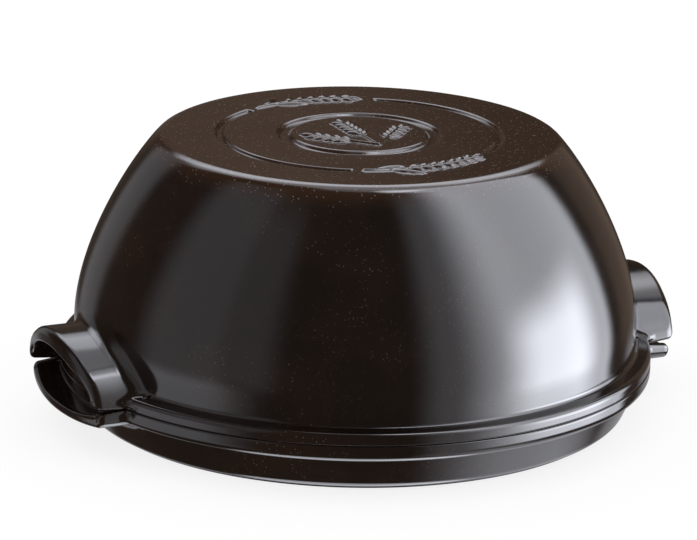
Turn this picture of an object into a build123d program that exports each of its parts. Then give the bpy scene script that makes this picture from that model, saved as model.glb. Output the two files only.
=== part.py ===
from build123d import *
import math
import os

os.makedirs("parts", exist_ok=True)

# A round bread cloche of glazed ceramic: a shallow base dish and a domed lid that lifts off it.
# The middle of the foot is the origin, Z is up and the ear handles point along X and -X.

# Overall size, closed. The ears stand out past the rim bead, so it is 325 over the ears.
rim_diameter = 295.0
ear_reach = 15.0
height = 138.0
parting_height = 26.3

# Dome of the lid, outside. Its side starts upright and leans in to the flat crown.
lid_wall = 7.0
upright_height = 17.0
crown_share = 0.7
crown_slope = 45.0
side_pull = 34.5
crown_pull = 21.5
crown_rounding = 5.0
ceiling_rounding = 14.0

# Rim bead round the foot of the lid, with a narrow sloping ledge on top.
lid_bead_height = 5.7
ledge_width = 7.6
ledge_rise = 1.2
ledge_fillet = 2.0
bead_top_rounding = 2.4
parting_bevel = 1.0

# Seat between the two pieces: a low ring on the base stands inside a rebate in the lid.
seat_ring_width = 4.0
seat_ring_height = 3.2
seat_side_clearance = 1.0
seat_top_clearance = 0.8
seat_bevel = 1.0

# Two sunk rings in the crown, the inner one whole and the outer one in two arcs.
inner_groove_radius = 37.0
inner_groove_width = 7.0
inner_groove_depth = 1.8
outer_groove_radius = 68.8
outer_groove_width = 4.0
outer_groove_depth = 1.5
outer_groove_arcs = ((-50.0, 58.0), (119.0, 241.0))
groove_floor_share = 0.4

# Ear of the lid: an arched hood with a finger hollow, open outwards and downwards. Its end is
# round, on a circle about the middle of the dish, and its wall is thinner at the feet.
ear_half_width = 45.5
ear_height = 28.5
ear_fullness_share = 0.48
ear_wall = 7.8
ear_foot_share = 0.64
hollow_fullness_share = 0.43
ear_root_fillet = 5.5
ear_edge_share = 0.41
hollow_edge_share = 0.15
ear_foot_lift = 1.4
bead_blend_radius = 7.0

# Base dish. Its side leans in from the undercut below the bead to the foot ring.
foot_height = 1.2
foot_setback = 3.5
foot_width = 5.0
foot_bevel = 0.5
floor_thickness = 7.5
base_bead_height = 8.4
undercut_depth = 5.5
base_bead_share = 0.85
undercut_fillet_share = 0.18
base_side_lean = 7.5
base_bottom_rounding = 4.0
dish_side_lean = 5.9
dish_floor_rounding = 10.0

# Ear of the base: a shallow lip under the hood of the lid, dished for the fingers.
lip_end_setback = 2.0
lip_floor = 4.6
lip_belly_drop = 2.9
lip_belly_share = 0.6
lip_fall_share = 0.27
lip_side_share = 0.55
lip_edge_share = 0.28
lip_mouth_share = 0.14

# One overrun for all cuts, and how near a corner or an edge must be to count as the one meant.
overrun = 5.0
touch = 0.01

rim_radius = rim_diameter / 2
dome_radius = rim_radius - ledge_width
crown_radius = crown_share * dome_radius
cavity_radius = dome_radius - lid_wall
ear_end = rim_radius + ear_reach
lip_end = ear_end - lip_end_setback
ear_root_x = cavity_radius - lid_wall
hollow_half_width = ear_half_width - ear_foot_share * ear_wall
hollow_height = ear_height - ear_wall
ear_foot_x = math.sqrt(rim_radius**2 - ear_half_width**2)
tab_end = rim_radius + bead_blend_radius / 2
base_bead_rounding = base_bead_share * undercut_depth
undercut_fillet = undercut_fillet_share * undercut_depth
upright_top = parting_height + upright_height
seat_ring_outer = cavity_radius + seat_ring_width
seat_ring_top = parting_height + seat_ring_height
rebate_radius = seat_ring_outer + seat_side_clearance
rebate_height = seat_ring_height + seat_top_clearance
floor_top = foot_height + floor_thickness
base_bead_bottom = parting_height - base_bead_height
lip_depth = base_bead_height + lip_belly_drop
lip_hollow_depth = lip_depth - lip_floor
lip_fall = lip_fall_share * base_bead_height
lip_side_rounding = lip_side_share * base_bead_height
lip_edge_rounding = lip_edge_share * base_bead_height
lip_mouth_rounding = lip_mouth_share * base_bead_height
bead_root_radius = rim_radius - base_bead_rounding
undercut_radius = rim_radius - undercut_depth
base_bottom_radius = undercut_radius - base_side_lean
foot_radius = base_bottom_radius - foot_setback
dish_floor_radius = cavity_radius - dish_side_lean


def turned(profile, arc=360.0):
    """A profile drawn as (radius, height), turned about the upright axis."""
    return revolve(Plane.YZ * profile, Axis.Z, arc)


def corner_of(profile, spot):
    """The corner of a flat profile that lies at a spot."""
    return profile.vertices().sort_by_distance(Vector(*spot))[0]


def rounded(profile, corners):
    """A flat profile with some of its corners rounded, each given as (spot, radius)."""
    for spot, radius in corners:
        profile = fillet(corner_of(profile, spot), radius)
    return profile


def along_x(profile, start, end):
    """A profile drawn in Y and Z from the parting plane, drawn out along X."""
    plane = Plane(origin=(start, 0, parting_height), x_dir=(0, 1, 0), z_dir=(1, 0, 0))
    return extrude(plane * profile, end - start)


def both_sides(ear):
    """An ear at X and its mirror image at -X."""
    return [ear, mirror(ear, Plane.YZ)]


def same_edge(shape, edge):
    """The edge of a changed shape that lies where an edge of the old one did."""
    return shape.edges().sort_by_distance(edge.position_at(0.5))[0]


def dome_edge(radius, edge_radius, top):
    """The side of the dome, leaning in from the upright wall to the edge of the crown."""
    lean = math.radians(crown_slope)
    return Bezier(
        (radius, upright_top),
        (radius, upright_top + side_pull),
        (edge_radius + crown_pull * math.sin(lean), top - crown_pull * math.cos(lean)),
        (edge_radius, top),
    )


def arch(half_width, rise, fullness):
    """An arch that stands on the parting plane, or hangs from it, drawn in Y and Z."""
    side = Bezier(
        (half_width, 0), (half_width, fullness * rise), (fullness * half_width, rise), (0, rise)
    )
    return make_face(side + mirror(side, Plane.YZ) + Line((half_width, 0), (-half_width, 0)))


def round_ended(ear, end):
    """An ear cut off by a cylinder about the middle of the dish."""
    return ear & Pos(0, 0, parting_height) * Cylinder(end, 2 * (ear_height + lip_depth))


def gap_wedge(rise, end):
    """The wedge between the two ears, which opens from the rim outwards, above or below."""
    run = end + overrun
    away = parting_height - math.copysign(overrun, rise)
    side = Polyline(
        (ear_foot_x, parting_height),
        (run, parting_height + rise * (run - ear_foot_x) / (end - ear_foot_x)),
        (run, away),
        (ear_foot_x, away),
        close=True,
    )
    return extrude(Plane.XZ * make_face(side), rim_radius, both=True)


def edged_disc(plan, bottom, top, rounded_face, rounding):
    """A flat plan as a disc. Its face at the parting plane has a bevel, its other one is rounded."""
    disc = extrude(Pos(0, 0, bottom) * plan, top - bottom)
    disc = fillet(rim_edges(disc, rounded_face), rounding)
    return chamfer(rim_edges(disc, -1 - rounded_face), parting_bevel)


def rim_bead(bottom, top, rounded_face, rounding):
    """The bead round the rim as a disc, with short tabs that blend it into the feet of the ears."""
    plan = Circle(rim_radius) + Rectangle(2 * tab_end, 2 * ear_half_width)
    plan = fillet([v for v in plan.vertices() if abs(v.X) < tab_end - touch], bead_blend_radius)
    between_feet = Pos(0, 0, parting_height) * Box(
        2 * (tab_end + overrun), 2 * hollow_half_width, 2 * (top - bottom + overrun)
    )
    between_feet -= edged_disc(Circle(rim_radius), bottom, top, rounded_face, rounding)
    return edged_disc(plan, bottom, top, rounded_face, rounding) - between_feet


def rim_edges(bead, face):
    """The edges of the bead's lowest face (0) or highest face (-1), without the ends of the tabs."""
    edges = bead.faces().sort_by(Axis.Z)[face].edges()
    return [e for e in edges if abs(e.center().X) < tab_end - touch]


def ledge_ring():
    """The narrow ledge that slopes from the top of the lid's bead up to the foot of the dome."""
    bead_top = parting_height + lid_bead_height
    ledge_top = bead_top + ledge_rise
    inner_radius = dome_radius - ledge_fillet
    outer_radius = rim_radius - bead_top_rounding
    inside_bead = bead_top - bead_top_rounding
    profile = make_face(Polyline(
        (inner_radius, inside_bead), (outer_radius, inside_bead), (outer_radius, bead_top),
        (dome_radius, ledge_top), (dome_radius, ledge_top + 2 * ledge_fillet),
        (inner_radius, ledge_top + 2 * ledge_fillet),
        close=True,
    ))
    return turned(rounded(profile, [((dome_radius, ledge_top), ledge_fillet)]))


def lid_core():
    """The dome without its rim, solid, with the edge of the crown rounded."""
    outline = Polyline(
        (0, height), (0, parting_height), (dome_radius, parting_height), (dome_radius, upright_top)
    )
    outline += dome_edge(dome_radius, crown_radius, height)
    outline += Line((crown_radius, height), (0, height))
    return turned(rounded(make_face(outline), [((crown_radius, height), crown_rounding)]))


def lid_inside():
    """The hollow of the dome, with the rebate round its foot."""
    ceiling = height - lid_wall
    edge_radius = crown_radius - lid_wall
    outline = Polyline(
        (0, ceiling), (0, parting_height - overrun), (cavity_radius, parting_height - overrun),
        (cavity_radius, upright_top),
    )
    outline += dome_edge(cavity_radius, edge_radius, ceiling)
    outline += Line((edge_radius, ceiling), (0, ceiling))
    hollow = turned(rounded(make_face(outline), [((edge_radius, ceiling), ceiling_rounding)]))
    return hollow + Pos(0, 0, parting_height) * Cylinder(rebate_radius, 2 * rebate_height)


def lid_hood():
    """One ear of the lid before it joins the dome: an arched hood, hollow underneath."""
    hood = along_x(arch(ear_half_width, ear_height, ear_fullness_share), ear_root_x, ear_end)
    hood -= along_x(
        arch(hollow_half_width, hollow_height, hollow_fullness_share), ear_root_x, ear_end
    )
    hood -= gap_wedge(ear_foot_lift, ear_end)
    hood = round_ended(hood, ear_end)
    edges = hood.faces().sort_by(Axis.X)[-1].edges().sort_by(SortBy.LENGTH)
    inner, outer = edges[2:4], edges[4:]
    hood = fillet(outer, ear_edge_share * ear_wall)
    return fillet([same_edge(hood, edge) for edge in inner], hollow_edge_share * ear_wall)


def hoods_on(core, hoods):
    """The dome with its ears grown on, with a broad fillet round the root of each."""
    joined = core + hoods
    roots = joined.edges() - core.edges()
    for hood in hoods:
        roots -= hood.edges()
    pocket_top = parting_height + hollow_height + touch
    roots = [
        e for e in roots
        if e.geom_type != GeomType.CIRCLE and e.geom_type != GeomType.LINE
        and abs(e.center().Y) < ear_half_width and e.center().Z > parting_height + touch
        and not (
            e.bounding_box().max.Z < pocket_top
            and abs(e.position_at(0.5).Y) < hollow_half_width + touch
        )
    ]
    return fillet(roots, ear_root_fillet)


def groove(radius, width, depth, start, end):
    """A groove with sloping sides sunk in the crown, whole or as an arc with round ends."""
    floor_width = groove_floor_share * width
    reach = depth + overrun
    mouth_width = floor_width + (width - floor_width) * reach / depth
    bottom = height - depth
    section = make_face(Polyline(
        (radius - mouth_width / 2, bottom + reach), (radius - floor_width / 2, bottom),
        (radius + floor_width / 2, bottom), (radius + mouth_width / 2, bottom + reach),
        close=True,
    ))
    if end - start >= 360.0:
        return turned(section)
    tool = Rot(0, 0, start - 90.0) * turned(section, end - start)
    for angle in (start, end):
        tool += Rot(0, 0, angle) * Pos(radius, 0, bottom + reach / 2) * Cone(
            floor_width / 2, mouth_width / 2, reach
        )
    return tool


def domed_lid():
    lid = hoods_on(lid_core(), both_sides(lid_hood()))
    bead_top = parting_height + lid_bead_height
    lid += rim_bead(parting_height, bead_top, -1, bead_top_rounding)
    lid += ledge_ring()
    lid -= lid_inside()
    lid -= groove(inner_groove_radius, inner_groove_width, inner_groove_depth, 0, 360.0)
    for start, end in outer_groove_arcs:
        lid -= groove(outer_groove_radius, outer_groove_width, outer_groove_depth, start, end)
    return lid


def base_core():
    """The dish without its bead, solid, with the foot ring under it."""
    profile = make_face(Polyline(
        (0, foot_height), (foot_radius - foot_width, foot_height), (foot_radius - foot_width, 0),
        (foot_radius, 0), (foot_radius, foot_height), (base_bottom_radius, foot_height),
        (undercut_radius, base_bead_bottom), (bead_root_radius, base_bead_bottom),
        (bead_root_radius, parting_height), (0, parting_height),
        close=True,
    ))
    for foot_corner in (foot_radius, foot_radius - foot_width):
        profile = chamfer(corner_of(profile, (foot_corner, 0)), foot_bevel)
    return turned(rounded(profile, [
        ((undercut_radius, base_bead_bottom), undercut_fillet),
        ((base_bottom_radius, foot_height), base_bottom_rounding),
    ]))


def dish_inside():
    """The hollow of the dish, narrower at the floor than at the seat ring."""
    profile = make_face(Polyline(
        (0, floor_top), (dish_floor_radius, floor_top), (cavity_radius, seat_ring_top),
        (cavity_radius, seat_ring_top + overrun), (0, seat_ring_top + overrun),
        close=True,
    ))
    return turned(rounded(profile, [((dish_floor_radius, floor_top), dish_floor_rounding)]))


def base_lip():
    """One ear of the base before it joins the dish: a dished lip with a rounded end."""
    side = Bezier(
        (ear_half_width, -base_bead_height), (lip_belly_share * ear_half_width, -lip_depth),
        (0, -lip_depth),
    )
    section = make_face(side + mirror(side, Plane.YZ) + Polyline(
        (-ear_half_width, -base_bead_height), (-ear_half_width, 0), (ear_half_width, 0),
        (ear_half_width, -base_bead_height),
    ))
    section -= arch(hollow_half_width, -lip_hollow_depth, hollow_fullness_share)
    lip = along_x(section, ear_root_x, lip_end)
    lip -= gap_wedge(-lip_fall, lip_end)
    corners = [
        e for e in lip.edges().filter_by(Axis.X)
        if abs(e.center().Z - base_bead_bottom) < touch
    ]
    lip = round_ended(fillet(corners, lip_side_rounding), lip_end)
    edges = lip.faces().sort_by(Axis.X)[-1].edges().sort_by(Axis.Z)
    mouth = [e for e in edges if abs(abs(e.center().Y) - hollow_half_width / 2) < ear_wall]
    lip = fillet(edges[0], lip_edge_rounding)
    return fillet([same_edge(lip, edge) for edge in mouth], lip_mouth_rounding)


def base_dish():
    base = base_core() + both_sides(base_lip())
    base += rim_bead(base_bead_bottom, parting_height, 0, base_bead_rounding)
    seat = Pos(0, 0, parting_height) * Cylinder(seat_ring_outer, 2 * seat_ring_height)
    base += chamfer(seat.edges().sort_by(Axis.Z)[-1], seat_bevel)
    return base - dish_inside()


for name, make in (("domed_lid", domed_lid), ("base_dish", base_dish)):
    export_step(make(), f"parts/{name}.step")
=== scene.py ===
import math

import bmesh
import bpy
from mathutils import Matrix, Vector, kdtree
from mathutils.geometry import interpolate_bezier


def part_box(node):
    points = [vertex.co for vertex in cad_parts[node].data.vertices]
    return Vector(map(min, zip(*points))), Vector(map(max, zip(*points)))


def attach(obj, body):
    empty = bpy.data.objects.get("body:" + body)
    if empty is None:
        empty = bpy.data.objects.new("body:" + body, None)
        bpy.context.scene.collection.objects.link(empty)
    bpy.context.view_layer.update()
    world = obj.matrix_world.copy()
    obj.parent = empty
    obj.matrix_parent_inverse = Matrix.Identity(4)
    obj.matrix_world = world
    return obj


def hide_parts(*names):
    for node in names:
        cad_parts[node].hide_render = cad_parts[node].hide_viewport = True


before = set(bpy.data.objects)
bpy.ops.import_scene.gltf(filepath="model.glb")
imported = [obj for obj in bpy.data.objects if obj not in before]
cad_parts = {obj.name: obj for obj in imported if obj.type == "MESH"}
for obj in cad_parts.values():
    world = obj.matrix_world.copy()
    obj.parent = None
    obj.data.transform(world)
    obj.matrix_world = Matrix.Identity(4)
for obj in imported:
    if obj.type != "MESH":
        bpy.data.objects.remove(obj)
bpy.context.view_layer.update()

# Glaze
# Both pieces are stoneware dipped in one very dark brown glaze, fired to a high gloss.
# It is thinner and browner in random pools. The crown is painted browner and lighter as painted
# light from above. It wavers a little and is full of fine pale specks.
glaze_colour = (0.0062, 0.0036, 0.0028, 1.0)
glaze_thin_and_crown_lit_colour = (0.0290, 0.0130, 0.0062, 1.0)
glaze_speck_colour = (0.180, 0.150, 0.125, 1.0)
glaze_roughness = 0.10
glaze_ior = 1.75
pool_scale = 26.0
pool_detail = 3.0
thin_from, thin_to = 0.42, 0.66
dull_from, dull_to = 0.35, 0.7
dull_share = 1.35
# Painted light: the crown is painted towards the warm colour, up to this share, between the two
# heights in metres below. This stands in for the stronger light that falls on top.
crown_light_share = 0.8
crown_light_from, crown_light_to = 0.129, 0.137
speck_scale = 1100.0
speck_share = 0.08
speck_size = 0.34
least_speck = 0.08
waver_scale = 55.0
waver_detail = 2.0
waver_depth = 0.00005


def add_node(tree, kind, settings=(), **inputs):
    """A shader node with its settings and the values of its unlinked inputs."""
    node = tree.nodes.new(kind)
    for name, value in dict(settings).items():
        setattr(node, name, value)
    for name, value in inputs.items():
        node.inputs[name.replace("_", " ")].default_value = value
    return node


def make_glaze():
    """The material of both pieces: pools of thinner glaze, a crown painted browner and lighter as
    painted light from above, specks, gloss and waver.
    """
    glaze = bpy.data.materials.new("dark_glaze")
    glaze.use_nodes = True
    tree = glaze.node_tree
    link = tree.links.new
    shader = tree.nodes["Principled BSDF"]
    shader.inputs["IOR"].default_value = glaze_ior
    place = add_node(tree, "ShaderNodeTexCoord").outputs["Object"]

    pools = add_node(tree, "ShaderNodeTexNoise", Scale=pool_scale, Detail=pool_detail)
    link(place, pools.inputs["Vector"])
    axes = add_node(tree, "ShaderNodeSeparateXYZ")
    link(place, axes.inputs["Vector"])
    # Painted light: browner and lighter towards the crown's height, standing in for the light that
    # falls on top.
    crown = add_node(
        tree, "ShaderNodeMapRange",
        From_Min=crown_light_from, From_Max=crown_light_to, To_Max=crown_light_share,
    )
    link(axes.outputs["Z"], crown.inputs["Value"])
    thin = add_node(
        tree, "ShaderNodeMapRange",
        From_Min=thin_from, From_Max=thin_to, To_Max=1 - crown_light_share,
    )
    link(pools.outputs["Fac"], thin.inputs["Value"])
    browner_and_crown_lit = add_node(tree, "ShaderNodeMath", {"operation": "ADD"})
    link(crown.outputs["Result"], browner_and_crown_lit.inputs[0])
    link(thin.outputs["Result"], browner_and_crown_lit.inputs[1])
    warmth_and_crown_light = add_node(
        tree, "ShaderNodeMixRGB", Color1=glaze_colour, Color2=glaze_thin_and_crown_lit_colour,
    )
    link(browner_and_crown_lit.outputs["Value"], warmth_and_crown_light.inputs["Fac"])

    grains = add_node(tree, "ShaderNodeTexVoronoi", Scale=speck_scale)
    link(place, grains.inputs["Vector"])
    number = add_node(tree, "ShaderNodeSeparateColor")
    link(grains.outputs["Color"], number.inputs["Color"])
    few = add_node(tree, "ShaderNodeMath", {"operation": "LESS_THAN"})
    few.inputs[1].default_value = speck_share
    link(number.outputs["Red"], few.inputs[0])
    small = add_node(tree, "ShaderNodeMath", {"operation": "LESS_THAN"})
    small.inputs[1].default_value = speck_size
    link(grains.outputs["Distance"], small.inputs[0])
    dot = add_node(tree, "ShaderNodeMath", {"operation": "MULTIPLY"})
    link(few.outputs["Value"], dot.inputs[0])
    link(small.outputs["Value"], dot.inputs[1])
    # Specks show more where the glaze is browner, and that includes the crown's painted light.
    plain = add_node(tree, "ShaderNodeMapRange", From_Max=crown_light_share, To_Min=least_speck)
    link(browner_and_crown_lit.outputs["Value"], plain.inputs["Value"])
    speck = add_node(tree, "ShaderNodeMath", {"operation": "MULTIPLY"})
    link(dot.outputs["Value"], speck.inputs[0])
    link(plain.outputs["Result"], speck.inputs[1])

    colour = add_node(tree, "ShaderNodeMixRGB", Color2=glaze_speck_colour)
    link(speck.outputs["Value"], colour.inputs["Fac"])
    link(warmth_and_crown_light.outputs["Color"], colour.inputs["Color1"])
    link(colour.outputs["Color"], shader.inputs["Base Color"])

    gloss = add_node(
        tree, "ShaderNodeMapRange",
        From_Min=dull_from, From_Max=dull_to,
        To_Min=glaze_roughness, To_Max=dull_share * glaze_roughness,
    )
    link(pools.outputs["Fac"], gloss.inputs["Value"])
    link(gloss.outputs["Result"], shader.inputs["Roughness"])

    waver = add_node(tree, "ShaderNodeTexNoise", Scale=waver_scale, Detail=waver_detail)
    link(place, waver.inputs["Vector"])
    bump = add_node(tree, "ShaderNodeBump", Distance=waver_depth)
    link(waver.outputs["Fac"], bump.inputs["Height"])
    link(bump.outputs["Normal"], shader.inputs["Normal"])
    return glaze


dark_glaze = make_glaze()

# Base dish
# The lower half is a shallow cast dish on a low foot ring, with a rounded bead round its rim.
# A low ring on the rim locates the lid, and two dished lips under the lid's ears are its handles.
mm = 0.001
rim_radius = 147.5
parting_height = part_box("domed_lid")[0].z / mm
cavity_radius = 132.9
parting_bevel = 1.0
base_bead_height = 8.4
base_bead_rounding = 4.4
undercut_radius = 142.0
undercut_fillet = 0.8
base_bottom_radius = 134.5
base_bottom_rounding = 5.0
foot_height = 1.2
foot_radius = 131.0
foot_width = 5.0
foot_rounding = 0.5
floor_top = 8.7
dish_floor_radius = 127.0
dish_floor_rounding = 10.0
seat_ring_radius = 136.9
seat_ring_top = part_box("base_dish")[1].z / mm
seat_rounding = 1.0
turning_steps = 240
outside_row = 2.2
inside_row = 8.0
shoulder = 0.25
degrees_per_facet = 11.0
turning_merge = 0.0005
seam_merge = 0.02

lip_end = 160.5
ear_half_width = 45.5
hollow_half_width = 40.5
hollow_fullness = 0.43
lip_depth = 11.3
lip_belly_share = 0.6
belly_points = 12
belly_clearance = 1.2
lip_corner_rounding = 4.6
lip_hollow_depth = 6.7
lip_shoulder_width = 33.0
lip_hollow_fullness = 0.67
lip_fall = 2.3
lip_end_rounding = 2.4
lip_mouth_rounding = 1.6
lip_root_fillet = 4.0

ear_columns = 34
ear_foot_rounding = 1.1
hollow_root_fillet = 2.0
gap_start = 140.3
tip_rounding = 2.6
least_gap = 0.08
ear_bury = 3.5
foot_thinning = 0.5
foot_rise = 6.0
flange_bury = 0.45
flange_width = 1.4
fillet_facets = 6
foot_angles = (0, 30, 60)
length_shares = (0.05, 0.3, 0.5, 0.7, 0.95, 1)
wall_probes = (-1.2, -0.4, 0.4, 1.2)
foot_flare_share = 0.5
section_row = 1.5


def outline(corners, longest):
    """A profile from (radius, height, rounding) corners, with arcs and with rows between them."""
    points = []
    for place, (radius, level, rounding) in enumerate(corners):
        corner = Vector((radius, level))
        if not rounding:
            points.append(corner)
            continue
        back = (Vector(corners[place - 1][:2]) - corner).normalized()
        ahead = (Vector(corners[place + 1][:2]) - corner).normalized()
        half_angle = back.angle(ahead) / 2
        reach = rounding / math.tan(half_angle)
        centre = corner + (back + ahead).normalized() * rounding / math.sin(half_angle)
        facets = max(2, round(math.degrees(math.pi - 2 * half_angle) / degrees_per_facet))
        start = (corner + back * reach - centre).normalized()
        end = (corner + ahead * reach - centre).normalized()
        points.append(corner + back * (reach + shoulder))
        for facet in range(facets + 1):
            points.append(centre + start.slerp(end, facet / facets) * rounding)
        points.append(corner + ahead * (reach + shoulder))
    rows = [points[0]]
    for point in points[1:]:
        last = rows[-1]
        cuts = math.ceil((point - last).length / longest)
        rows += [last.lerp(point, cut / cuts) for cut in range(1, cuts + 1)]
    return rows


def turned(rows):
    """A profile of (radius, height) rows turned once round the upright axis."""
    bm = bmesh.new()
    verts = [bm.verts.new((row.x, 0, row.y)) for row in rows]
    edges = [bm.edges.new(pair) for pair in zip(verts, verts[1:])]
    bmesh.ops.spin(
        bm, geom=verts + edges, cent=(0, 0, 0), axis=(0, 0, 1),
        angle=math.tau, steps=turning_steps, use_merge=True,
    )
    bmesh.ops.remove_doubles(bm, verts=bm.verts, dist=turning_merge)
    bmesh.ops.recalc_face_normals(bm, faces=bm.faces)
    return bm


def finished(name, bm):
    """The object of a piece modelled in millimetres, shaded smooth, with its place in its mesh."""
    # A few slivers along the ears' seams are folded flat on themselves by the merge, and come off.
    by_corners = {}
    for face in bm.faces:
        by_corners.setdefault(frozenset(face.verts), []).append(face)
    folded = [face for faces in by_corners.values() if len(faces) > 1 for face in faces]
    bmesh.ops.delete(bm, geom=folded, context="FACES")
    bmesh.ops.scale(bm, vec=(mm, mm, mm), verts=bm.verts)
    mesh = bpy.data.meshes.new(name)
    bm.to_mesh(mesh)
    bm.free()
    mesh.polygons.foreach_set("use_smooth", [True] * len(mesh.polygons))
    piece = bpy.data.objects.new(name, mesh)
    bpy.context.scene.collection.objects.link(piece)
    piece.data.materials.append(dark_glaze)
    return piece


def whole_arch(foot, rounding, side):
    """The (y, z) spots of an arch from foot to foot, each with its way out of the clay.

    side is half of it, from the foot to the middle. The rounding of the foot's edge is negative
    where the clay lies outside the arch.
    """
    clay_inside = math.copysign(1, rounding)
    upwards = math.copysign(1, side[-1].y)
    half = []
    for angle in foot_angles:
        in_from_side = rounding * (1 - math.sin(math.radians(angle)))
        level = upwards * abs(rounding) * (1 - math.cos(math.radians(angle)))
        half.append((Vector((foot - in_from_side, level)), Vector((clay_inside, 0))))
    for place, spot in enumerate(side):
        run = side[min(place + 1, len(side) - 1)] - side[max(place - 1, 0)]
        way = Vector((abs(run.y), upwards * abs(run.x))).normalized()
        half.append((spot, way * clay_inside))
    other_half = [
        (Vector((-spot.x, spot.y)), Vector((-way.x, way.y))) for spot, way in half[-2::-1]
    ]
    return half + other_half


def ear_rows(root, end_rounding):
    """The rows of an ear, from inside the wall to its end.

    Each is (distance off the wall, distance back from the end, distance aside, share of the way).
    """
    rows = [(-ear_bury, end_rounding, 0, 0), (-flange_bury, end_rounding, root + flange_width, 0)]
    for facet in range(1, fillet_facets + 1):
        angle = math.radians(90 * facet / fillet_facets)
        off, aside = root * (1 - math.cos(angle)), root * (1 - math.sin(angle))
        rows.append((off, end_rounding, aside, 0))
    rows += [(root, end_rounding, 0, share) for share in length_shares]
    for facet in range(1, fillet_facets + 1):
        angle = math.radians(90 * facet / fillet_facets)
        back, inset = end_rounding * (1 - math.sin(angle)), end_rounding * (1 - math.cos(angle))
        rows.append((root, back, -inset, 1))
    rows.append((root, 0, -end_rounding - shoulder, 1))
    return rows


def reach_at(wall, level):
    """The radius of a wall at a height. Its rows run from the top down."""
    for above, below in zip(wall, wall[1:]):
        if below.y <= level <= above.y and below.y < above.y:
            return below.x + (above.x - below.x) * (level - below.y) / (above.y - below.y)
    return wall[0].x if level > wall[0].y else wall[-1].x


def pair_of_ears(outer, inner, outer_rows, inner_rows, wall, end, gap):
    """Two ears that run out of the wall at X and -X, arched in section and hollow.

    gap is how far the ear's feet part from the other piece's ear at its end.
    """
    bm = bmesh.new()
    section = [(spot, way, outer_rows) for spot, way in outer]
    section += [(spot, way, inner_rows) for spot, way in reversed(inner)]
    upwards = math.copysign(1, gap)
    fade = max(abs(spot.y) for spot, way in inner)

    def place(spot, way, row):
        off, back, aside, share = row
        if aside < 0:
            aside *= min(1, foot_thinning + (1 - foot_thinning) * abs(spot.y) / foot_rise)
        elif way.x * spot.x < 0 or way.y * upwards < 0:
            aside = min(aside, foot_flare_share * abs(spot.y))
        y, level = spot + way * aside
        wall_level = parting_height + upwards * max(upwards * level, parting_bevel)
        radii = [reach_at(wall, wall_level + up) for up in wall_probes]
        wall_x = math.sqrt((sum(radii) / len(radii) + off) ** 2 - y * y)
        x = wall_x + (math.sqrt((end - back) ** 2 - y * y) - wall_x) * share
        opened = max(least_gap, abs(gap) * (x - gap_start) / (end - gap_start))
        past = max(0, 1 + (math.hypot(x, y) - end) / tip_rounding)
        opened += tip_rounding * (1 - math.sqrt(1 - min(1, past) ** 2))
        level += upwards * opened * max(0, 1 - abs(level) / fade)
        return Vector((x, y, parting_height + level))

    ring = [bm.verts.new(place(spot, way, rows[0])) for spot, way, rows in section]
    edges = [bm.edges.new((vert, ring[(n + 1) % len(ring)])) for n, vert in enumerate(ring)]
    bmesh.ops.edgeloop_fill(bm, edges=edges)
    for number in range(1, len(outer_rows)):
        made = bmesh.ops.extrude_edge_only(bm, edges=edges)["geom"]
        new_verts = {part for part in made if isinstance(part, bmesh.types.BMVert)}
        edges = [
            part for part in made
            if isinstance(part, bmesh.types.BMEdge) and set(part.verts) <= new_verts
        ]
        ring = [
            next(other for other in (edge.other_vert(vert) for edge in vert.link_edges)
                 if other in new_verts)
            for vert in ring
        ]
        for vert, (spot, way, rows) in zip(ring, section):
            vert.co = place(spot, way, rows[number])
    caps = bmesh.ops.edgeloop_fill(bm, edges=edges)["faces"]
    caps += [face for face in bm.faces if len(face.verts) == len(section) and face not in caps]
    bmesh.ops.triangulate(bm, faces=caps)
    bmesh.ops.recalc_face_normals(bm, faces=bm.faces)
    copy = bmesh.ops.duplicate(bm, geom=bm.faces)["geom"]
    copied = [part for part in copy if isinstance(part, bmesh.types.BMVert)]
    bmesh.ops.rotate(bm, verts=copied, cent=(0, 0, 0), matrix=Matrix.Rotation(math.pi, 3, "Z"))
    return bm


def united(body, ears):
    """One bmesh of the body with its ears, where each was a closed bmesh."""
    parts = []
    for bm in (body, ears):
        mesh = bpy.data.meshes.new("part")
        bm.to_mesh(mesh)
        bm.free()
        parts.append(bpy.data.objects.new("part", mesh))
        bpy.context.scene.collection.objects.link(parts[-1])
    union = parts[0].modifiers.new("union", "BOOLEAN")
    union.operation, union.solver, union.object = "UNION", "EXACT", parts[1]
    depsgraph = bpy.context.evaluated_depsgraph_get()
    whole = bmesh.new()
    whole.from_mesh(parts[0].evaluated_get(depsgraph).data)
    for part in parts:
        bpy.data.objects.remove(part)
    bmesh.ops.remove_doubles(whole, verts=whole.verts, dist=seam_merge)
    return whole


base_bead_bottom = parting_height - base_bead_height
base_outside = outline([
    (foot_radius, foot_height, 0),
    (base_bottom_radius, foot_height, base_bottom_rounding),
    (undercut_radius, base_bead_bottom, undercut_fillet),
    (rim_radius, base_bead_bottom, base_bead_rounding),
    (rim_radius, parting_height, parting_bevel),
    (seat_ring_radius, parting_height, 0),
], outside_row)
base_foot = outline([
    (0, foot_height, 0), (foot_radius - foot_width, foot_height, 0),
    (foot_radius - foot_width, 0, foot_rounding), (foot_radius, 0, foot_rounding),
    (foot_radius, foot_height, 0),
], inside_row)
base_inside = outline([
    (seat_ring_radius, parting_height, 0), (seat_ring_radius, seat_ring_top, seat_rounding),
    (cavity_radius, seat_ring_top, seat_rounding),
    (dish_floor_radius, floor_top, dish_floor_rounding), (0, floor_top, 0),
], inside_row)
base_body = turned(base_foot + base_outside[1:] + base_inside[1:])

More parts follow.
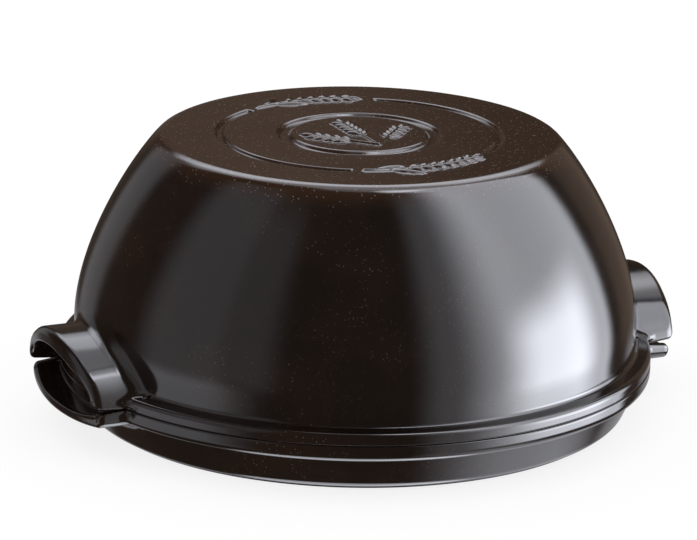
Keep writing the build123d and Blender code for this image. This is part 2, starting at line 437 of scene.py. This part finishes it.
lip_foot = Vector((ear_half_width, -ear_foot_rounding))
lip_corner = Vector((ear_half_width, -base_bead_height))
belly = interpolate_bezier(
    lip_corner, lip_corner.lerp(Vector((lip_belly_share * ear_half_width, -lip_depth)), 2 / 3),
    Vector((lip_belly_share * ear_half_width * 2 / 3, -lip_depth)), Vector((0, -lip_depth)),
    belly_points,
)
belly_start = ear_half_width - belly_clearance * lip_corner_rounding
lip_side = outline(
    [(*lip_foot, 0), (*lip_corner, lip_corner_rounding)]
    + [(*spot[:2], 0) for spot in belly if spot.x < belly_start],
    section_row,
)


def hollow_side(depth, shoulder_width, fullness):
    """Half of a finger hollow in section, from its edge to its middle."""
    edge = math.copysign(ear_foot_rounding, depth)
    return [Vector(spot[:2]) for spot in interpolate_bezier(
        Vector((hollow_half_width, edge)), Vector((shoulder_width, fullness * depth)),
        Vector((hollow_fullness * hollow_half_width, depth)), Vector((0, depth)), ear_columns,
    )]


base_lips = pair_of_ears(
    whole_arch(ear_half_width, ear_foot_rounding, lip_side),
    whole_arch(
        hollow_half_width, -ear_foot_rounding,
        hollow_side(-lip_hollow_depth, lip_shoulder_width, lip_hollow_fullness),
    ),
    ear_rows(lip_root_fillet, lip_end_rounding), ear_rows(hollow_root_fillet, lip_mouth_rounding),
    base_outside[::-1], lip_end, -lip_fall,
)
base_dish = finished("base_dish_glazed", united(base_body, base_lips))
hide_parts("base_dish")
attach(base_dish, "base")

# Domed lid
# The upper half is a tall cast dome with a flat crown, a bead round its foot with a narrow ledge
# above it, and two arched ears with a finger hollow underneath. A rebate in its foot fits the base.
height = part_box("domed_lid")[1].z / mm
lid_wall = 7.0
dome_radius = 139.9
upright_top = parting_height + 17.0
crown_radius = 97.9
crown_slope = 45.0
side_pull = 34.5
crown_pull = 21.5
crown_rounding = 8.5
ceiling_rounding = 14.0
lid_bead_height = 5.7
ledge_rise = 1.2
ledge_fillet = 2.0
bead_top_rounding = 2.4
rebate_radius = 137.9
rebate_height = 4.0
rebate_rounding = 0.8
dome_columns = 34
centre_radius = 31.5
centre_merge = 0.005

ear_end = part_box("domed_lid")[1].x / mm
ear_height = 28.5
ear_fullness = 0.48
hollow_height = 20.7
ear_foot_lift = 2.2
ear_root_fillet = 5.5
ear_end_rounding = 3.2
hollow_mouth_rounding = 1.2

inner_groove = (37.0, 8.0, 1.7)
outer_groove = (68.8, 5.0, 1.5)
outer_arcs = ((-50, 58), (119, 241))
groove_floor_share = 0.4
grain_size = Vector((9.6, 4.0, 1.5))
grain_lean = math.radians(36)
grain_spacing = 5.4
grain_crest = 0.8
leaf_size = Vector((19.0, 4.6, 1.3))
leaf_lean = math.radians(26)
stem_width = 2.4
stem_height = 1.1
stem_step = 0.4
gap_sprigs = ((113, 72), (247, 297))
gap_grains = (0.36, 0.94)
gap_leaves = ((0.06, 1), (0.2, -1))
sheaf_root = Vector((0, -23))
sheaf_ears = ((0, 43), (42, 33), (-42, 33))
sheaf_grains = (0.45, 0.9)
relief_reach = 80.0
relief_margin = 5.0
flat_tolerance = 0.01
finest_cell = 0.5
finest_step = 0.03
step_probes = (0.3, 0.5, 0.7)
refining_passes = 2


def dome_side(radius, edge_radius, top, rounding):
    """The side of the dome as outline corners, from the rounded edge of the crown downwards."""
    slope = math.radians(crown_slope)
    edge = Vector((edge_radius, top))
    curve = interpolate_bezier(
        edge, edge + Vector((math.cos(slope), -math.sin(slope))) * crown_pull,
        Vector((radius, upright_top + side_pull)), Vector((radius, upright_top)), dome_columns,
    )
    clear_of_edge = rounding * math.tan(slope / 2) + 3 * shoulder
    side = [(spot.x, spot.y, 0) for spot in curve if (spot.xy - edge).length > clear_of_edge]
    return [(edge_radius, top, rounding)] + side


bead_top = parting_height + lid_bead_height
ledge_top = bead_top + ledge_rise
rebate_top = parting_height + rebate_height
lid_outside = outline(
    [(centre_radius, height, 0)]
    + dome_side(dome_radius, crown_radius, height, crown_rounding)
    + [
        (dome_radius, ledge_top, ledge_fillet),
        (rim_radius, bead_top, bead_top_rounding),
        (rim_radius, parting_height, parting_bevel),
        (rebate_radius, parting_height, rebate_rounding),
        (rebate_radius, rebate_top, rebate_rounding),
        (cavity_radius, rebate_top, rebate_rounding),
        (cavity_radius, upright_top, 0),
    ],
    outside_row,
)
ceiling = height - lid_wall
inside_side = dome_side(cavity_radius, crown_radius - lid_wall, ceiling, ceiling_rounding)
lid_inside = outline(list(reversed(inside_side)) + [(0, ceiling, 0)], inside_row)
lid_body = turned(lid_outside + lid_inside[1:])

disc = bmesh.ops.create_grid(
    lid_body, x_segments=turning_steps // 4, y_segments=turning_steps // 4, size=1,
)["verts"]
for vert in disc:
    x, y = vert.co.xy
    if abs(x) >= abs(y):
        ring, angle = x, math.pi / 4 * (y / x if x else 0)
        vert.co.xy = ring * math.cos(angle), ring * math.sin(angle)
    else:
        ring, angle = y, math.pi / 4 * (x / y)
        vert.co.xy = ring * math.sin(angle), ring * math.cos(angle)
    vert.co = Vector((vert.co.x * centre_radius, vert.co.y * centre_radius, height))
bmesh.ops.remove_doubles(lid_body, verts=lid_body.verts, dist=centre_merge)
bmesh.ops.recalc_face_normals(lid_body, faces=lid_body.faces)

hood_side = [Vector(spot[:2]) for spot in interpolate_bezier(
    Vector((ear_half_width, ear_foot_rounding)), Vector((ear_half_width, ear_fullness * ear_height)),
    Vector((ear_fullness * ear_half_width, ear_height)), Vector((0, ear_height)), ear_columns,
)]
hoods = pair_of_ears(
    whole_arch(ear_half_width, ear_foot_rounding, hood_side),
    whole_arch(
        hollow_half_width, -ear_foot_rounding,
        hollow_side(hollow_height, hollow_half_width, hollow_fullness),
    ),
    ear_rows(ear_root_fillet, ear_end_rounding),
    ear_rows(hollow_root_fillet, hollow_mouth_rounding),
    lid_outside, ear_end, ear_foot_lift,
)
stems, grains = [], []


def sprig(path, first, last, leaves):
    """A wheat ear along a path of close spots, with its grains between two shares of the path."""
    stems.extend(path)

    def add(share, lean, size):
        step = round(share * (len(path) - 1))
        back = min(step, len(path) - 2)
        way = Matrix.Rotation(lean, 2) @ (path[back + 1] - path[back]).normalized()
        grains.append((path[step] + way * size.x / 2, way, size))

    run = (last - first) * stem_step * len(path)
    pairs = round(run / grain_spacing)
    for pair in range(pairs + 1):
        for side in (-1, 1):
            add(first + (last - first) * pair / pairs, side * grain_lean, grain_size)
    add(1, 0, grain_size)
    for share, side in leaves:
        add(share, side * leaf_lean, leaf_size)


def arc_path(start, end):
    """Close spots along the circle of the outer groove."""
    steps = round(abs(math.radians(end - start)) * outer_groove[0] / stem_step)
    angles = [math.radians(start + (end - start) * step / steps) for step in range(steps + 1)]
    return [outer_groove[0] * Vector((math.cos(angle), math.sin(angle))) for angle in angles]


def straight_path(start, end):
    """Close spots along a straight line."""
    steps = round((end - start).length / stem_step)
    return [start.lerp(end, step / steps) for step in range(steps + 1)]


for start, end in gap_sprigs:
    sprig(arc_path(start, end), *gap_grains, gap_leaves)
for lean, length in sheaf_ears:
    way = Matrix.Rotation(math.radians(lean), 2) @ Vector((0, 1))
    sprig(straight_path(sheaf_root, sheaf_root + way * length), *sheaf_grains, ())

stem_tree = kdtree.KDTree(len(stems))
for number, spot in enumerate(stems):
    stem_tree.insert(spot.to_3d(), number)
stem_tree.balance()
grain_tree = kdtree.KDTree(len(grains))
for number, (middle, way, size) in enumerate(grains):
    grain_tree.insert(middle.to_3d(), number)
grain_tree.balance()


def sunk(distance, width, depth):
    """How deep a groove is at a distance from its middle line."""
    floor = groove_floor_share * width / 2
    share = min(1, max(0, (width / 2 - distance) / (width / 2 - floor)))
    return depth * share * share * (3 - 2 * share)


def relief(x, y):
    """The height of the crown's pattern over the flat of it."""
    radius = math.hypot(x, y)
    if radius > relief_reach:
        return 0.0
    level = -sunk(abs(radius - inner_groove[0]), *inner_groove[1:])
    angle = math.degrees(math.atan2(y, x))
    for start, end in outer_arcs:
        if (angle - start) % 360 <= end - start:
            off = abs(radius - outer_groove[0])
        else:
            off = min(
                math.hypot(x - outer_groove[0] * math.cos(tip), y - outer_groove[0] * math.sin(tip))
                for tip in (math.radians(start), math.radians(end))
            )
        level -= sunk(off, *outer_groove[1:])
    spot = Vector((x, y, 0))
    from_stem = 2 * stem_tree.find(spot)[2] / stem_width
    if from_stem < 1:
        level = max(level, stem_height * (1 - from_stem ** 2))
    for place, number, distance in grain_tree.find_range(spot, leaf_size.x / 2):
        middle, way, size = grains[number]
        along, across = way.dot(spot.xy - middle), way.cross(spot.xy - middle)
        inside = 1 - (2 * along / size.x) ** 2 - (2 * across / size.y) ** 2
        if inside > 0:
            level = max(level, size.z * inside ** grain_crest)
    return level


def patterned(bm):
    """Raise and sink the pattern in the crown, with finer cells where it changes."""
    def on_crown(vert):
        flat = abs(vert.co.z - height) < flat_tolerance
        return flat and vert.co.xy.length < relief_reach + relief_margin

    for _ in range(refining_passes):
        levels = {vert: relief(*vert.co.xy) for vert in bm.verts if on_crown(vert)}
        uneven = []
        for edge in bm.edges:
            start, end = edge.verts
            if start in levels and end in levels and edge.calc_length() > finest_cell:
                spots = [start.co.lerp(end.co, share) for share in step_probes]
                heights = [levels[start], levels[end]] + [relief(*spot.xy) for spot in spots]
                if max(heights) - min(heights) > finest_step:
                    uneven.append(edge)
        bmesh.ops.subdivide_edges(bm, edges=uneven, cuts=1, use_grid_fill=True)
    for vert in [vert for vert in bm.verts if on_crown(vert)]:
        vert.co.z += relief(*vert.co.xy)
    bmesh.ops.triangulate(bm, faces=[face for face in bm.faces if len(face.verts) > 4])


lid = united(lid_body, hoods)
patterned(lid)
domed_lid = finished("domed_lid_glazed", lid)
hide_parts("domed_lid")
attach(domed_lid, "lid")

# Floor
# A plain white table top, wide enough to reach the horizon in every view.
floor_size = 60.0
floor_drop = 0.0002
floor_colour = (0.2, 0.2, 0.2, 1.0)
floor_glow_colour = (1.0, 1.0, 1.0, 1.0)
floor_glow = 0.82

bpy.ops.mesh.primitive_plane_add(size=floor_size, location=(0, 0, -floor_drop))
floor = bpy.context.object
floor.name = "floor"
floor.visible_glossy = False
floor_paint = bpy.data.materials.new("white_floor")
floor_paint.use_nodes = True
floor_shader = floor_paint.node_tree.nodes["Principled BSDF"]
floor_shader.inputs["Base Color"].default_value = floor_colour
floor_shader.inputs["Specular IOR Level"].default_value = 0.0
floor_shader.inputs["Emission Color"].default_value = floor_glow_colour
floor_shader.inputs["Emission Strength"].default_value = floor_glow
floor.data.materials.append(floor_paint)

# Camera
# It stands about two metres away, 25 degrees round from the front towards the left ear, and
# looks a little down on the lid.
camera_azimuth = math.radians(25.0)
camera_elevation = math.radians(16.88)
camera_roll = math.radians(1.17)
camera_distance = 2.0206
camera_lens = 209.9
sensor_width = 36.0
aim_height = 0.0602
photo_width, photo_height = 697, 540
aim_in_photo = (356.15, 285.0)

camera = bpy.data.objects.new("camera", bpy.data.cameras.new("camera"))
bpy.context.scene.collection.objects.link(camera)
camera.data.lens = camera_lens
camera.data.sensor_width = sensor_width
forward = Vector((
    math.sin(camera_azimuth) * math.cos(camera_elevation),
    math.cos(camera_azimuth) * math.cos(camera_elevation),
    -math.sin(camera_elevation),
))
aim = Vector((0, 0, aim_height))
camera.location = aim - forward * camera_distance
facing = forward.to_track_quat("-Z", "Y").to_matrix()
camera.rotation_euler = (facing @ Matrix.Rotation(camera_roll, 3, "Z")).to_euler()
camera.data.shift_x = (photo_width / 2 - aim_in_photo[0]) / photo_width
camera.data.shift_y = (aim_in_photo[1] - photo_height / 2) / photo_width
bpy.context.scene.camera = camera

# Light
# The light on the object is plain and even. What the glaze reflects is a dark tent round the set,
# with soft bright panels on its wall, which nothing but reflections can see.
world_strength = 1.0
tent_radius = 0.8
tent_segments = 180
cool, warm = Vector((0.94, 0.97, 1.06)), Vector((1.25, 0.92, 0.72))
tent_glow = 0.05 * warm
tent_panels = (
    # Degrees round from the camera's side and degrees up. Each is lit from the first side to the
    # second and from low to high, with a soft edge beyond, and the last number is its strength.
    ((65, 29), (113, 6), (-20, 7), (72, 14), 3.1 * cool),
    ((76, 22), (92, 18), (-12, 12), (5, 15), 6.8 * cool),
    ((40, 15), (75, 15), (74, 4), (80.9, 3), 4.0 * cool),
    ((35, 15), (62, 20), (-45, 10), (50, 20), 0.5 * cool),
    ((130, 8), (150, 8), (-10, 10), (60, 20), 0.12 * warm),
    ((-95, 10), (-60, 30), (-36, 8), (-15, 7), 0.6 * cool),
    ((85, 58), (135, 10), (-80, 8), (-46, 12), 1.35 * cool),
    ((-140, 8), (-126, 8), (-10, 10), (40, 20), 0.25 * cool),
    ((-78, 16), (-54, 10), (-10, 12), (44, 20), 0.31 * cool),
    ((-44, 8), (-36, 12), (-5, 12), (40, 20), 0.2 * cool),
    ((-176, 14), (-160, 8), (4, 6), (30, 8), 0.06 * warm),
    ((-180, 0), (180, 0), (81, 3), (90, 0), 0.7 * cool),
    ((130, 14), (230, 14), (44, 8), (80.9, 3), 1.1 * cool),
    ((145, 14), (215, 14), (36, 6), (58, 6), 1.6 * cool),
    ((140, 10), (220, 10), (-69, 4), (-20, 8), 0.4 * cool),
    ((-180, 0), (180, 0), (-90, 0), (-70, 4), 2.5 * cool),
)

world = bpy.data.worlds.new("studio")
world.use_nodes = True
world.node_tree.nodes["Background"].inputs["Color"].default_value = (1, 1, 1, 1)
world.node_tree.nodes["Background"].inputs["Strength"].default_value = world_strength
bpy.context.scene.world = world
bpy.context.scene.view_settings.view_transform = "Standard"


def only_reflected(thing):
    """Mark a thing of the set that nothing but a reflection can see."""
    for seen_by in ("camera", "diffuse", "transmission", "volume_scatter", "shadow"):
        setattr(thing, "visible_" + seen_by, False)


def lit(angle, start, end):
    """1 between two edges and 0 beyond their soft sides, with a smooth slope between."""
    share = 1.0
    for inside, (edge, soft) in ((angle - start[0], start), (end[0] - angle, end)):
        if inside < 0:
            share = min(share, max(0, 1 + inside / soft) if soft else 0)
    return share * share * (3 - 2 * share)


def tent_glow_at(spot):
    """How bright the tent is in a direction from its middle."""
    level = math.degrees(math.asin(max(-1, min(1, spot.z / spot.length))))
    turn = math.degrees(math.atan2(
        spot.x * math.cos(camera_azimuth) - spot.y * math.sin(camera_azimuth),
        -spot.x * math.sin(camera_azimuth) - spot.y * math.cos(camera_azimuth),
    ))
    glow = tent_glow.copy()
    for start, end, low, high, strength in tent_panels:
        round_it = max(lit(turn + whole, start, end) for whole in (-360, 0, 360))
        glow += strength * round_it * lit(level, low, high)
    return glow


bm = bmesh.new()
bmesh.ops.create_uvsphere(
    bm, u_segments=tent_segments, v_segments=tent_segments // 2, radius=tent_radius,
)
bmesh.ops.reverse_faces(bm, faces=bm.faces)
tent_mesh = bpy.data.meshes.new("tent")
bm.to_mesh(tent_mesh)
bm.free()
glow = tent_mesh.attributes.new("glow", "FLOAT_VECTOR", "POINT")
for vert in tent_mesh.vertices:
    glow.data[vert.index].vector = tent_glow_at(vert.co)
tent = bpy.data.objects.new("tent", tent_mesh)
bpy.context.scene.collection.objects.link(tent)
tent.location.z = aim_height
only_reflected(tent)
tent_cloth = bpy.data.materials.new("tent")
tent_cloth.use_nodes = True
tree = tent_cloth.node_tree
tree.nodes.clear()
emission = add_node(tree, "ShaderNodeEmission")
tree.links.new(
    add_node(tree, "ShaderNodeAttribute", {"attribute_name": "glow"}).outputs["Vector"],
    emission.inputs["Color"],
)
output = add_node(tree, "ShaderNodeOutputMaterial")
tree.links.new(emission.outputs["Emission"], output.inputs["Surface"])
tent.data.materials.append(tent_cloth)
